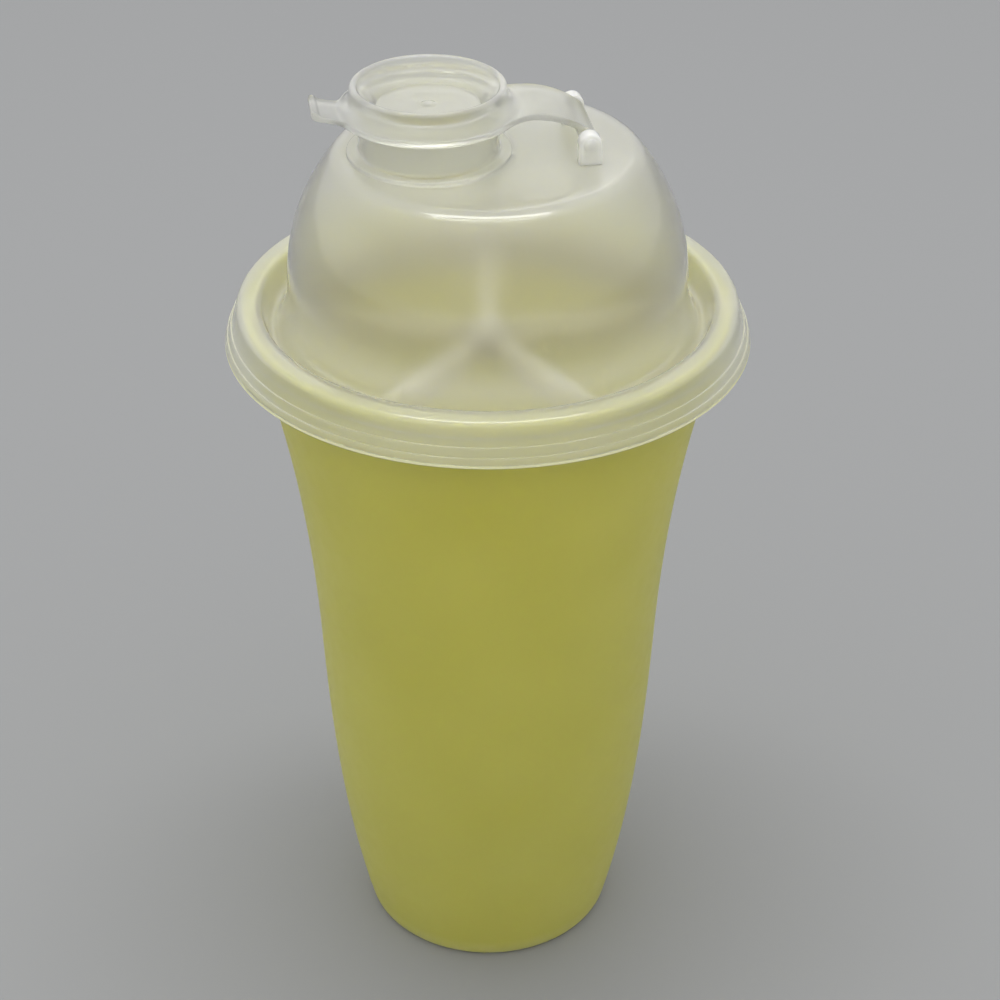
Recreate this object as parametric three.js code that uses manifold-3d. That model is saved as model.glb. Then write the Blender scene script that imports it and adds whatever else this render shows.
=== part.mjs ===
// Shaker cup: a flared tumbler, a domed press-on lid with a pouring spout, a flip cap hinged on the lid
// and a mixing wheel pushed into the lid's mouth. Millimetres, +Z up. The base stands on Z = 0 about the
// cup's axis, the spout lies towards -X and the hinge towards +X.
import * as THREE from "three";
import { mergeVertices } from "three/addons/utils/BufferGeometryUtils.js";
import loadManifold from "manifold-3d";

// Clearances between separate mouldings
const FIT = 0.3;
const PIN_PLAY = 0.2;

// Tumbler: flat foot ring, rounded heel, S-shaped side, flared lip
const TUMBLER_HEIGHT = 145;
const TUMBLER_WALL = 1.4;
const FOOT_RADIUS = 24.2;
const FOOT_WIDTH = 4;
const FOOT_RECESS = 1.6;
const HEEL_ROUND = 2;
const HEEL_SLOPE = 0.24;
const WAIST_RADIUS = 34.4;
const WAIST_HEIGHT = 70;
const WAIST_SLOPE = 0.045;
const LIP_RADIUS = 46;
const LIP_SLOPE = 0.3;

// Lid: one shell of even wall, from the flat top over the dome, the trough and the rim to the skirt
const LID_WALL = 1.1;
const RIM_FALL = 0.5;
const RIM_ROUND = 0.3;
const SKIRT_DROP = 7.7;
const SKIRT_FLARE = 2.3;
const SKIRT_BAND = 3.6;
const SKIRT_HEM = 1.9;
const SKIRT_STEP = 0.25;
const SNAP_BEAD_DROP = 3;
const SNAP_BEAD_CREST = 0.5;
const TROUGH_WIDTH = 5.4;
const TROUGH_DEPTH = 4;
const TROUGH_ROUND = 1.7;
const FLARE_SPREAD = 1.9;
const DOME_FOOT_RISE = 4.3;
const DOME_RISE = 25.5;
const DOME_EDGE_ROUND = 4;

// Spout on the lid's flat top, with a low round boss at its foot
const SPOUT_X = -10.8;
const NECK_RADIUS = 12.9;
const NECK_WALL = 1.5;
const NECK_HEIGHT = 8.6;
const NECK_FILLET = 0.6;
const NECK_LIP_ROUND = 0.5;
const BOSS_WIDTH = 2.2;
const BOSS_HEIGHT = 0.7;
const BOSS_EDGE = 0.4;

// Hinge ears on the lid's flat top, and the pins that turn in them, ending just inside the ears' outer faces
const HINGE_X = 17.2;
const HINGE_HEIGHT = 3.8;
const EAR_RADIUS = 2.1;
const EAR_THICKNESS = 3.2;
const EAR_EDGE = 0.4;
const PIN_RADIUS = 1.1;
const PIN_RECESS = 0.3;

// Flip cap: dished top, wall round the spout, plug, flange, thumb tab and hinge strap
const CAP_WALL = 1.2;
const CAP_TOP = 4.4;
const CAP_ROOM = 1.2;
const CAP_TAPER = 1.1;
const CAP_RIM_WIDTH = 1.4;
const CAP_SKIRT_DEPTH = 0.9;
const DISH_DEPTH = 4;
const DISH_INSET = 1.7;
const DISH_CHAMFER = 0.5;
const NUB_RADIUS = 1.6;
const NUB_HEIGHT = 0.5;
const PLUG_DEPTH = 2.7;
const PLUG_TAPER = 0.45;
const FLANGE_WIDTH = 1.2;
const FLANGE_THICKNESS = 1;
const FLANGE_FLARE = 1.2;
const TAB_REACH = 4.9;
const TAB_WIDTH = 9;
const TAB_ROOT_WIDTH = 12;
const TAB_RISE = 1.4;
const TAB_LIP_HEIGHT = 0.6;
const TAB_LIP_WIDTH = 0.9;
const STRAP_THICKNESS = 1.2;
const STRAP_CROWN = 1.6;
const STRAP_KNEE = 1.4;
const STRAP_WIDTH = 14.6;
const STRAP_SHOULDER = 6;
const BARREL_RADIUS = 1.6;

// Mixing wheel: collar in the lid's mouth, stop flange, hub and radial vanes
const COLLAR_WALL = 1.2;
const COLLAR_DROP = 7;
const COLLAR_RISE = 2.4;
const STOP_FLANGE_WIDTH = 1.7;
const STOP_FLANGE_THICKNESS = 1.1;
const VANE_COUNT = 5;
const VANE_TURN = 9.5;
const VANE_THICKNESS = 2.4;
const VANE_TOP_DROP = 1.4;
const VANE_DEPTH = 9.4;
const VANE_DEEP_RADIUS = 27;
const HUB_RADIUS = 4.2;
const HUB_DEPTH = 4.4;
const HUB_CROWN = 0.8;

// Facets round the cup's axis, round the spout and round the hinge pins, and steps in a rounding or curve
const CUP_FACETS = 48;
const SPOUT_FACETS = 40;
const PIN_FACETS = 20;
const ROUND_STEPS = 3;
const CURVE_STEPS = 6;

// Points closer than this are one point
const WELD = 1e-5;

const wasm = await loadManifold();
wasm.setup();

const { degToRad, radToDeg } = THREE.MathUtils;
const at = (r, z) => new THREE.Vector2(r, z);

// Points of an arc about (r, z), from one angle to another in degrees
function arc(r, z, radius, from, to, steps = ROUND_STEPS) {
  const curve = new THREE.EllipseCurve(r, z, radius, radius, degToRad(from), degToRad(to), to < from);
  return curve.getPoints(steps);
}

// Points of a smooth run between two points, leaving and reaching them towards its two handles
function curved(start, startHandle, endHandle, end, steps = CURVE_STEPS) {
  return new THREE.CubicBezierCurve(start, startHandle, endHandle, end).getPoints(steps);
}

// Points of a smooth side between two heights, with its lean (radius gained per height) at each end
function side(low, lowLean, high, highLean) {
  const third = (high.y - low.y) / 3;
  const lowHandle = at(low.x + lowLean * third, low.y + third);
  const highHandle = at(high.x - highLean * third, high.y - third);
  return curved(low, lowHandle, highHandle, high);
}

// Rounds the corner between two straight runs with an arc that touches both
function roundedCorner(before, corner, after, radius) {
  const inward = before.clone().sub(corner).normalize();
  const outward = after.clone().sub(corner).normalize();
  const half = Math.acos(inward.dot(outward)) / 2;
  const bisector = inward.clone().add(outward).normalize();
  const centre = corner.clone().addScaledVector(bisector, radius / Math.sin(half));
  const reach = radius / Math.tan(half);
  const first = corner.clone().addScaledVector(inward, reach);
  const last = corner.clone().addScaledVector(outward, reach);
  const from = first.clone().sub(centre);
  const to = last.clone().sub(centre);
  const sweep = Math.atan2(from.cross(to), from.dot(to));
  return turned(first, centre, sweep);
}

// Points of a start point turned about a centre through an angle in radians
function turned(start, centre, sweep, steps = ROUND_STEPS) {
  return Array.from({ length: steps + 1 }, (_, i) => start.clone().rotateAround(centre, (sweep * i) / steps));
}

// Joins runs of points, leaving out a point that repeats the one before it
function joined(...runs) {
  return runs.flat().filter((p, i, all) => i === 0 || p.distanceTo(all[i - 1]) > WELD);
}

// Moves an open outline sideways, to its right as it runs, keeping the wall between the two even
function offset(points, distance) {
  const rightOf = (a, b) => at(b.y - a.y, a.x - b.x).normalize();
  const last = points.length - 1;
  return points.map((p, i) => {
    const before = rightOf(points[Math.max(i - 1, 0)], points[Math.max(i, 1)]);
    const after = rightOf(points[Math.min(i, last - 1)], points[Math.min(i + 1, last)]);
    const mitre = before.add(after).normalize();
    return p.clone().addScaledVector(mitre, distance / mitre.dot(after));
  });
}

// One side of a plan outline, closed by its mirror image across the X axis
const mirrored = (points) => [...points, ...points.map((p) => at(p.x, -p.y)).reverse()];

// A half outline turned about a vertical axis at the given X
function revolved(points, facets, x = 0) {
  return new THREE.LatheGeometry(points, facets).rotateX(Math.PI / 2).translate(x, 0, 0);
}

// A side outline in X and Z, drawn out evenly to both sides of Y = 0, with its edges broken by a bevel
function drawnAcross(points, width, edge = 0) {
  const geometry = new THREE.ExtrudeGeometry(new THREE.Shape(points), {
    depth: width - 2 * edge,
    bevelEnabled: edge > 0,
    bevelThickness: edge,
    bevelSize: edge,
    bevelOffset: -edge,
    bevelSegments: 1,
  });
  return geometry.translate(0, 0, edge - width / 2).rotateX(Math.PI / 2);
}

// A plan outline in X and Y, drawn out between two heights
function drawnUp(points, low, high) {
  const drawn = { depth: high - low, bevelEnabled: false };
  return new THREE.ExtrudeGeometry(new THREE.Shape(points), drawn).translate(0, 0, low);
}

// A round bar along Y
function barAcross(radius, length, x, z) {
  return new THREE.CylinderGeometry(radius, radius, length, PIN_FACETS).translate(x, 0, z);
}

// A closed geometry as a solid, with its points welded and its faces turned outwards
function solid(geometry) {
  const bare = geometry.clone();
  bare.deleteAttribute("normal");
  bare.deleteAttribute("uv");
  const welded = mergeVertices(bare, WELD);
  const position = welded.attributes.position;
  const corner = (i) => new THREE.Vector3().fromBufferAttribute(position, i);
  const triangles = [];
  let volume = 0;
  for (let i = 0; i < welded.index.count; i += 3) {
    const [a, b, c] = [0, 1, 2].map((k) => welded.index.getX(i + k));
    if (a === b || b === c || c === a) continue;
    triangles.push([a, b, c]);
    volume += corner(a).dot(corner(b).cross(corner(c)));
  }
  const facing = volume < 0 ? triangles.map(([a, b, c]) => [a, c, b]) : triangles;
  return new wasm.Manifold(new wasm.Mesh({
    numProp: 3,
    vertProperties: new Float32Array(position.array),
    triVerts: new Uint32Array(facing.flat()),
  }));
}

const union = (bodies) => bodies.reduce((whole, body) => whole.add(body));

// The surface of a solid as a geometry
function surface(body) {
  const shape = body.getMesh();
  const geometry = new THREE.BufferGeometry();
  geometry.setAttribute("position", new THREE.BufferAttribute(new Float32Array(shape.vertProperties), 3));
  geometry.setIndex(new THREE.BufferAttribute(new Uint32Array(shape.triVerts), 1));
  geometry.computeVertexNormals();
  return geometry;
}

// A named piece of moulded plastic
function moulding(name, geometry, color, roughness) {
  const mesh = new THREE.Mesh(geometry, new THREE.MeshStandardMaterial({ color, roughness, metalness: 0 }));
  mesh.name = name;
  return mesh;
}

// Tumbler

function tumbler() {
  const heel = arc(FOOT_RADIUS, HEEL_ROUND, HEEL_ROUND, -90, -radToDeg(Math.atan(HEEL_SLOPE)));
  const waist = at(WAIST_RADIUS, WAIST_HEIGHT);
  const lip = at(LIP_RADIUS, TUMBLER_HEIGHT - TUMBLER_WALL / 2);
  const footInside = FOOT_RADIUS - FOOT_WIDTH;
  const outside = joined(
    [at(0, FOOT_RECESS), at(footInside - FOOT_RECESS, FOOT_RECESS), at(footInside, 0)],
    heel,
    side(heel.at(-1), HEEL_SLOPE, waist, WAIST_SLOPE),
    side(waist, WAIST_SLOPE, lip, LIP_SLOPE),
  );
  const inside = offset(outside, -TUMBLER_WALL);
  const lipMiddle = outside.at(-1).clone().add(inside.at(-1)).multiplyScalar(0.5);
  const lipRound = turned(outside.at(-1), lipMiddle, Math.PI);
  return surface(solid(revolved(joined(outside, lipRound, inside.reverse()), CUP_FACETS)));
}

// Lid, in heights above the tumbler's lip

const lipInside = LIP_RADIUS - TUMBLER_WALL * Math.hypot(1, LIP_SLOPE);
const rimInside = lipInside - FIT - LID_WALL;
const rimOutside = LIP_RADIUS + FIT + LID_WALL;
const rimLow = FIT + LID_WALL;
const rimHigh = rimLow + RIM_FALL;
const skirtFoot = at(rimOutside + SKIRT_FLARE, rimLow - SKIRT_DROP);
const domeRadius = rimInside - TROUGH_WIDTH;
const domeFoot = rimHigh + DOME_FOOT_RISE;
const lidTop = domeFoot + DOME_RISE;
const troughTop = rimHigh - TROUGH_DEPTH;
const flareDrop = domeFoot - troughTop;
const flareRadius = (flareDrop ** 2 + FLARE_SPREAD ** 2) / (2 * FLARE_SPREAD);

// Inner radius of the lid's mouth at a height on the flare
function mouthRadius(z) {
  return domeRadius + flareRadius - Math.sqrt((flareRadius + LID_WALL) ** 2 - (domeFoot - z) ** 2);
}

// Upper surface of the dome: flat top, rounded edge and ball
function domeOutline() {
  const ballReach = domeRadius - DOME_EDGE_ROUND;
  const edgeRise = DOME_RISE - DOME_EDGE_ROUND;
  const edgeRadius = Math.sqrt(ballReach ** 2 - edgeRise ** 2);
  const edgeAngle = radToDeg(Math.asin(edgeRise / ballReach));
  const edge = arc(edgeRadius, domeFoot + edgeRise, DOME_EDGE_ROUND, 90, edgeAngle);
  const ball = arc(0, domeFoot, domeRadius, edgeAngle, 0, CURVE_STEPS);
  return joined([at(0, lidTop)], edge, ball);
}

// Upper surface from the dome's foot over its flare, the trough and the rim to the top of the skirt
function rimOutline() {
  const flareAngle = radToDeg(Math.asin(flareDrop / flareRadius));
  const flare = arc(domeRadius + flareRadius, domeFoot, flareRadius, 180, 180 + flareAngle);

  const flareEnd = flare.at(-1);
  const wallFoot = at(rimInside - LIP_SLOPE * TROUGH_DEPTH, troughTop);
  const rimInner = at(rimInside, rimHigh);
  const rimOuter = at(rimOutside, rimLow);
  const down = flareEnd.clone().sub(flare.at(-2)).normalize();
  const up = rimInner.clone().sub(wallFoot).normalize();
  const trough = curved(
    flareEnd,
    flareEnd.clone().addScaledVector(down, TROUGH_ROUND),
    wallFoot.clone().addScaledVector(up, -TROUGH_ROUND),
    wallFoot,
    ROUND_STEPS + 1,
  );
  const rimCornerRound = LID_WALL + RIM_ROUND;
  return joined(
    flare,
    trough,
    roundedCorner(wallFoot, rimInner, rimOuter, rimCornerRound),
    roundedCorner(rimInner, rimOuter, skirtFoot, rimCornerRound),
  );
}

const domeSkin = domeOutline();
const lidSkin = joined(domeSkin, rimOutline());
const skirtTop = lidSkin.at(-1);
const skirtLean = (skirtFoot.x - skirtTop.x) / (skirtTop.y - skirtFoot.y);
const lidUnderside = offset([...lidSkin, skirtFoot], LID_WALL).slice(0, -1);
const troughUnderside = Math.min(...lidUnderside.filter((p) => p.x < rimInside).map((p) => p.y));

// Spout and hinge places, in heights above the tumbler's lip
const neckTop = lidTop + NECK_HEIGHT;
const boreRadius = NECK_RADIUS - NECK_WALL;
const hingeZ = lidTop + HINGE_HEIGHT;
const earInside = STRAP_WIDTH / 2 + FIT;
const earOutside = earInside + EAR_THICKNESS;
const pinEnd = earOutside - PIN_RECESS;

// The lid's shell, open below, with a stepped band and hem round the skirt's foot and a snap bead inside
// the skirt. The bead's flanks run at 45 degrees from its crest, which just clears the tumbler's lip, to
// the skirt.
function lidShell() {
  const onSkirt = (start, z) => at(start.x + skirtLean * (start.y - z), z);
  const bandTop = onSkirt(skirtFoot, skirtFoot.y + SKIRT_BAND);
  const hemTop = onSkirt(skirtFoot, skirtFoot.y + SKIRT_HEM);
  const underskirt = lidUnderside.at(-1);
  const beadInside = LIP_RADIUS + FIT;
  const beadHigh = FIT - SNAP_BEAD_DROP + SNAP_BEAD_CREST / 2;
  const beadLow = beadHigh - SNAP_BEAD_CREST;
  const flankHigh = (onSkirt(underskirt, beadHigh).x - beadInside) / (1 + skirtLean);
  const flankLow = (onSkirt(underskirt, beadLow).x - beadInside) / (1 - skirtLean);
  return solid(revolved(joined(
    lidSkin,
    [bandTop, at(bandTop.x + SKIRT_STEP, bandTop.y)],
    [at(hemTop.x + SKIRT_STEP, hemTop.y), at(hemTop.x + 2 * SKIRT_STEP, hemTop.y)],
    [at(skirtFoot.x + 2 * SKIRT_STEP, skirtFoot.y), onSkirt(underskirt, skirtFoot.y)],
    [at(beadInside + flankLow, beadLow - flankLow), at(beadInside, beadLow)],
    [at(beadInside, beadHigh), at(beadInside + flankHigh, beadHigh + flankHigh)],
    [...lidUnderside].reverse(),
  ), CUP_FACETS));
}

// Spout with its boss, and hinge ears, with their roots in the middle of the dome's wall
function lidFittings() {
  const root = lidTop - DOME_EDGE_ROUND;
  const bossTop = lidTop + BOSS_HEIGHT;
  const bossRadius = NECK_RADIUS + BOSS_WIDTH;
  const neck = solid(revolved(joined(
    [at(0, root), at(bossRadius, root)],
    [at(bossRadius, bossTop - BOSS_EDGE), at(bossRadius - BOSS_EDGE, bossTop)],
    arc(NECK_RADIUS + NECK_FILLET, bossTop + NECK_FILLET, NECK_FILLET, 270, 180),
    arc(NECK_RADIUS - NECK_LIP_ROUND, neckTop - NECK_LIP_ROUND, NECK_LIP_ROUND, 0, 90),
    [at(0, neckTop)],
  ), SPOUT_FACETS, SPOUT_X));
  const post = joined(
    [at(HINGE_X - EAR_RADIUS, root), at(HINGE_X + EAR_RADIUS, root)],
    arc(HINGE_X, hingeZ, EAR_RADIUS, 0, 180, 2 * ROUND_STEPS),
  );
  const earMiddle = (earInside + earOutside) / 2;
  const ears = [-earMiddle, earMiddle].map((y) =>
    solid(drawnAcross(post, EAR_THICKNESS, EAR_EDGE).translate(0, y, 0)));
  const wallMiddle = solid(revolved([...offset(domeSkin, LID_WALL / 2), at(0, domeFoot)], CUP_FACETS));
  return union([neck, ...ears]).subtract(wallMiddle);
}

function lid() {
  const boreLow = domeFoot;
  const boreHigh = neckTop + NECK_WALL;
  const boreOutline = [at(0, boreLow), at(boreRadius, boreLow), at(boreRadius, boreHigh), at(0, boreHigh)];
  const bore = solid(revolved(boreOutline, SPOUT_FACETS, SPOUT_X));
  const pinHole = solid(barAcross(PIN_RADIUS + PIN_PLAY, 2 * (earOutside + EAR_EDGE), HINGE_X, hingeZ));
  return surface(lidShell().add(lidFittings()).subtract(bore).subtract(pinHole));
}

// Flip cap, closed on the spout, in heights above the tumbler's lip

const capRoomTop = neckTop + FIT;
const capTop = capRoomTop + CAP_TOP;
const capBottom = neckTop - CAP_SKIRT_DEPTH;
const capInside = NECK_RADIUS + CAP_ROOM;
const capFoot = capInside + CAP_WALL;
const capRim = capFoot - CAP_TAPER;
const plugRadius = boreRadius - FIT;
const flangeRadius = capFoot + FLANGE_WIDTH;
const flangeTop = capBottom + FLANGE_THICKNESS;
const barrelBottom = hingeZ - BARREL_RADIUS;

// Half outline of the room between the plug and the cap's wall, where the spout's lip goes
const spoutRoom = [
  at(plugRadius, capRoomTop),
  at(capRim - CAP_WALL, capTop - CAP_RIM_WIDTH - CAP_WALL),
  at(capInside, capBottom),
];

// Round body of the cap: plug, wall, flange, rolled rim and dish with a centre nub
function capCrown() {
  const dishFloor = capTop - DISH_DEPTH;
  const dishRadius = plugRadius - DISH_INSET;
  const plugInside = plugRadius - CAP_WALL;
  const plugBottom = neckTop - PLUG_DEPTH;
  const rimRound = CAP_RIM_WIDTH / 2;
  return revolved(joined(
    [at(0, dishFloor - CAP_WALL), at(plugInside, dishFloor - CAP_WALL)],
    [at(plugInside, plugBottom), at(plugRadius - PLUG_TAPER, plugBottom)],
    spoutRoom,
    [at(flangeRadius, capBottom), at(flangeRadius, flangeTop), at(capFoot, flangeTop + FLANGE_FLARE)],
    arc(capRim - rimRound, capTop - rimRound, rimRound, 0, 180),
    [at(dishRadius + DISH_CHAMFER, dishFloor + DISH_CHAMFER), at(dishRadius, dishFloor)],
    [at(NUB_RADIUS, dishFloor), at(NUB_RADIUS - NUB_HEIGHT, dishFloor + NUB_HEIGHT)],
    [at(0, dishFloor + NUB_HEIGHT)],
  ), SPOUT_FACETS, SPOUT_X);
}

// Thumb tab in line with the flange, with a raised lip along its end
function capTab() {
  const end = SPOUT_X - flangeRadius - TAB_REACH;
  const root = SPOUT_X - Math.sqrt(flangeRadius ** 2 - (TAB_ROOT_WIDTH / 2) ** 2);
  const tip = flangeTop + TAB_RISE;
  const sideView = drawnAcross([
    at(root, capBottom),
    at(root, flangeTop),
    at(end + 2 * TAB_LIP_WIDTH, tip),
    at(end + TAB_LIP_WIDTH, tip + TAB_LIP_HEIGHT),
    at(end, tip + TAB_LIP_HEIGHT),
    at(end, tip - FLANGE_THICKNESS),
  ], 2 * TAB_ROOT_WIDTH);
  const plan = curved(
    at(end, TAB_WIDTH / 2),
    at(end + TAB_REACH, TAB_WIDTH / 2),
    at(end + TAB_REACH, TAB_ROOT_WIDTH / 2),
    at(root, TAB_ROOT_WIDTH / 2),
  );
  return solid(sideView).intersect(solid(drawnUp(mirrored(plan), barrelBottom, capTop)));
}

// Hinge strap, turning out of the flange in two rounded shoulders and arching down to the barrel between
// the ears. Its handles rise by the crown above the flange and drop by the knee below it.
function capStrap() {
  const half = STRAP_WIDTH / 2;
  const onFlange = capFoot + FLANGE_WIDTH / 2;
  const shoulderY = half + STRAP_SHOULDER;
  const shoulderX = Math.sqrt((onFlange + STRAP_SHOULDER) ** 2 - shoulderY ** 2);
  const leave = radToDeg(Math.atan2(shoulderY, shoulderX));
  const plan = joined(
    arc(SPOUT_X + shoulderX, shoulderY, STRAP_SHOULDER, 180 + leave, 270),
    [at(HINGE_X + BARREL_RADIUS, half)],
  );
  const root = plan[0].x;
  const onBarrel = BARREL_RADIUS * Math.SQRT1_2;
  const arch = curved(
    at(root, flangeTop),
    at((root + HINGE_X) / 2, flangeTop + STRAP_CROWN),
    at(HINGE_X - BARREL_RADIUS, flangeTop - STRAP_KNEE),
    at(HINGE_X + onBarrel, hingeZ + onBarrel),
  );
  const sideView = drawnAcross([...arch, ...offset(arch, STRAP_THICKNESS).reverse()], 4 * half);
  return solid(sideView).intersect(solid(drawnUp(mirrored(plan), barrelBottom, capTop)));
}

function cap() {
  const roomOutline = [at(0, capRoomTop), ...spoutRoom, at(capInside, barrelBottom), at(0, barrelBottom)];
  const room = solid(revolved(roomOutline, SPOUT_FACETS, SPOUT_X));
  const arms = union([capTab(), capStrap()]).subtract(room);
  const barrel = solid(barAcross(BARREL_RADIUS, STRAP_WIDTH, HINGE_X, hingeZ));
  const pins = solid(barAcross(PIN_RADIUS, 2 * pinEnd, HINGE_X, hingeZ));
  return surface(union([solid(capCrown()), arms, barrel, pins]));
}

// Mixing wheel, pushed home in the lid, in heights above the tumbler's lip

function wheel() {
  const stopTop = troughUnderside - FIT;
  const stopBottom = stopTop - STOP_FLANGE_THICKNESS;
  const collarTop = stopTop + COLLAR_RISE;
  const collarOutside = mouthRadius(collarTop) - FIT;
  const collarInside = collarOutside - COLLAR_WALL;
  const collarBottom = stopTop - COLLAR_DROP;
  const stopOutside = collarOutside + STOP_FLANGE_WIDTH;
  const collar = solid(revolved([
    at(collarInside, collarBottom),
    at(collarOutside, collarBottom),
    at(collarOutside, stopBottom),
    at(stopOutside, stopBottom),
    at(stopOutside, stopTop),
    at(collarOutside, stopTop),
    at(collarOutside, collarTop),
    at(collarInside, collarTop),
    at(collarInside, collarBottom),
  ], CUP_FACETS));

  const vaneTop = stopTop - VANE_TOP_DROP;
  const hubBottom = vaneTop - HUB_DEPTH;
  const hubTop = vaneTop + HUB_CROWN;
  const hub = solid(revolved([
    at(0, hubBottom),
    at(HUB_RADIUS, hubBottom),
    at(HUB_RADIUS, vaneTop),
    at(HUB_RADIUS - HUB_CROWN, hubTop),
    at(0, hubTop),
  ], SPOUT_FACETS));

  const vaneStart = at(HUB_RADIUS / 2, hubBottom + HUB_CROWN);
  const vaneEnd = at(collarInside + COLLAR_WALL / 2, collarBottom + COLLAR_WALL);
  const deepest = at(VANE_DEEP_RADIUS, vaneTop - VANE_DEPTH);
  const belly = new THREE.QuadraticBezierCurve(vaneEnd, deepest, vaneStart).getPoints(CURVE_STEPS);
  const vaneOutline = [at(vaneStart.x, vaneTop), at(vaneEnd.x, vaneTop), ...belly];
  const vanes = Array.from({ length: VANE_COUNT }, (_, i) => {
    const turn = degToRad(VANE_TURN + (360 * i) / VANE_COUNT);
    return solid(drawnAcross(vaneOutline, VANE_THICKNESS).rotateZ(turn));
  });
  return surface(union([collar, hub, ...vanes]));
}

// The lid's pieces ride on the lid, and the cap turns about its hinge pins
const shaker = new THREE.Group();
const lidGroup = new THREE.Group();
const flipCap = moulding("flip_cap", cap().translate(-HINGE_X, 0, -hingeZ), 0xd2d4c8, 0.3);
flipCap.position.set(HINGE_X, 0, hingeZ);
lidGroup.position.z = TUMBLER_HEIGHT;
lidGroup.add(moulding("dome_lid", lid(), 0xd4d6c2, 0.3));
lidGroup.add(moulding("mixing_wheel", wheel(), 0xdadbcb, 0.35));
lidGroup.add(flipCap);
shaker.add(moulding("tumbler", tumbler(), 0xb4b060, 0.4));
shaker.add(lidGroup);

export default shaker;
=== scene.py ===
"""A shaker cup: a yellow tumbler under a milky domed lid with a spout, a flip cap and a mixing wheel.

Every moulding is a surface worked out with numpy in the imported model's own frame, in millimetres, and put
into its mesh in metres: base on Z = 0, spout towards -X, hinge towards +X.
"""

import math

import bpy
import numpy as np
from mathutils import Matrix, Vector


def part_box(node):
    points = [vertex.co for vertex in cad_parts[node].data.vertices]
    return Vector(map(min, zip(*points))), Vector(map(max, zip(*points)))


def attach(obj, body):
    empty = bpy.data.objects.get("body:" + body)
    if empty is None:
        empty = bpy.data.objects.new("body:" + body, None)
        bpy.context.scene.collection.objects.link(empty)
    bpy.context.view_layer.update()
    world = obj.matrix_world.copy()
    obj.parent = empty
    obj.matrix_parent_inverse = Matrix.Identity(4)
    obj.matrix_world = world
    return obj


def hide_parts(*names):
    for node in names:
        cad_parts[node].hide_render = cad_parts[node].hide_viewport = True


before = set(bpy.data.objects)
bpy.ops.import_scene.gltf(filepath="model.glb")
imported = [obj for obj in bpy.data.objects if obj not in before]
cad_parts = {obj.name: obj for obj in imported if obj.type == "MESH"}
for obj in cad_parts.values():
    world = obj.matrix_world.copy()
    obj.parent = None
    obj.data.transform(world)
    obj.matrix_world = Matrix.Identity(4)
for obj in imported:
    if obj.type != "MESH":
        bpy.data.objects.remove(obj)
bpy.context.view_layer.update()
scene = bpy.context.scene

MM = 0.001

# Clearances between separate mouldings
FIT = 0.3
PIN_PLAY = 0.2

# Tumbler: flat foot ring, rounded heel, S-shaped side, flared lip, and small radii under and in the base
TUMBLER_HEIGHT = 145
TUMBLER_WALL = 1.4
FOOT_RADIUS = 24.2
FOOT_WIDTH = 4
FOOT_RECESS = 1.6
HEEL_ROUND = 2
HEEL_SLOPE = 0.24
WAIST_RADIUS = 34.4
WAIST_HEIGHT = 70
WAIST_SLOPE = 0.045
LIP_RADIUS = 46
LIP_SLOPE = 0.3
RECESS_ROUNDS = (0.9, 0.6)
FLOOR_ROUNDS = (0.5, 0.6)

# Lid, from the flat top over the dome, the trough and the rim to the skirt, and its small radii
LID_WALL = 1.1
RIM_FALL = 0.5
RIM_ROUND = 1.4
SKIRT_DROP = 7.7
SKIRT_FLARE = 2.3
SKIRT_BAND = 3.6
SKIRT_HEM = 1.9
SKIRT_STEP = 0.25
SNAP_BEAD_DROP = 3
SNAP_BEAD_CREST = 0.5
TROUGH_WIDTH = 5.4
TROUGH_DEPTH = 4
TROUGH_ROUND = 1.7
FLARE_SPREAD = 1.9
DOME_FOOT_RISE = 4.3
DOME_RISE = 25.5
DOME_EDGE_ROUND = 4
STEP_ROUNDS = (0.1, 0.12)
HEM_EDGE = 0.25
BEAD_EDGE = 0.2
RIM_UNDER_ROUND = 0.3

# Spout and hinge ears on the lid's flat top. The spout's radii go from the bore's foot over the mouth
# to the boss's edge
SPOUT_X = -10.8
NECK_RADIUS = 12.9
NECK_WALL = 1.5
NECK_HEIGHT = 8.6
BOSS_WIDTH = 2.2
BOSS_HEIGHT = 0.7
SPOUT_ROUNDS = (0.3, 0.5, 0.5, 0.6, 0.35)
UNDER_SPOUT = 1
HINGE_X = 17.2
HINGE_HEIGHT = 3.8
EAR_RADIUS = 2.1
EAR_THICKNESS = 3.2
EAR_EDGE = 0.4
EAR_CROWN = 0.5
EAR_FACE_RADIUS = 1.35
EAR_FACE_RISE = 0.35
EAR_FLOOR = 1.5
EAR_ROOT = 0.55
EAR_FOOT_ROUND = 0.6
PIN_RADIUS = 1.1
PIN_END_PLAY = 0.2
PIN_ROOT = 1
PIN_ROUNDS = (0.25, 0.1)
HOLE_EDGE = 0.15

# Flip cap: dished top with a nub, wall and its Bezier handles, room for the spout, plug, flange, thumb tab
# and hinge strap
CAP_WALL = 1.2
CAP_ROOM = 1.2
CAP_TAPER = 1.1
CAP_RIM_WIDTH = 1.4
CAP_SKIRT_DEPTH = 0.9
DISH_DEPTH = 4
DISH_INSET = 1.7
DISH_CHAMFER = 0.5
DISH_ROUNDS = (0.15, 0.3, 0.3)
NUB_HEIGHT = 0.5
NUB_BALL = 2.6
NUB_BALL_FROM = 78
NUB_BALL_TO = 60
NUB_EDGE_RADIUS = 1.4
NUB_EDGE_HEIGHT = 0.1
NUB_FOOT_RADIUS = 1.7
WALL_TOP_HANDLE = (0.15, -1.3)
WALL_FOOT_HANDLE = (-0.7, 0.9)
ROOM_LEAN = 0.2
ROOM_LIP = 0.4
ROOM_EDGE = 0.1
ROOM_ROUNDS = (0.2, 0.3, 0.3, 0.3, 0.3, 0.3)
PLUG_DEPTH = 2.7
PLUG_TAPER = 0.45
FLANGE_WIDTH = 1.2
FLANGE_THICKNESS = 1
FLANGE_FLARE = 1.2
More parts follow.
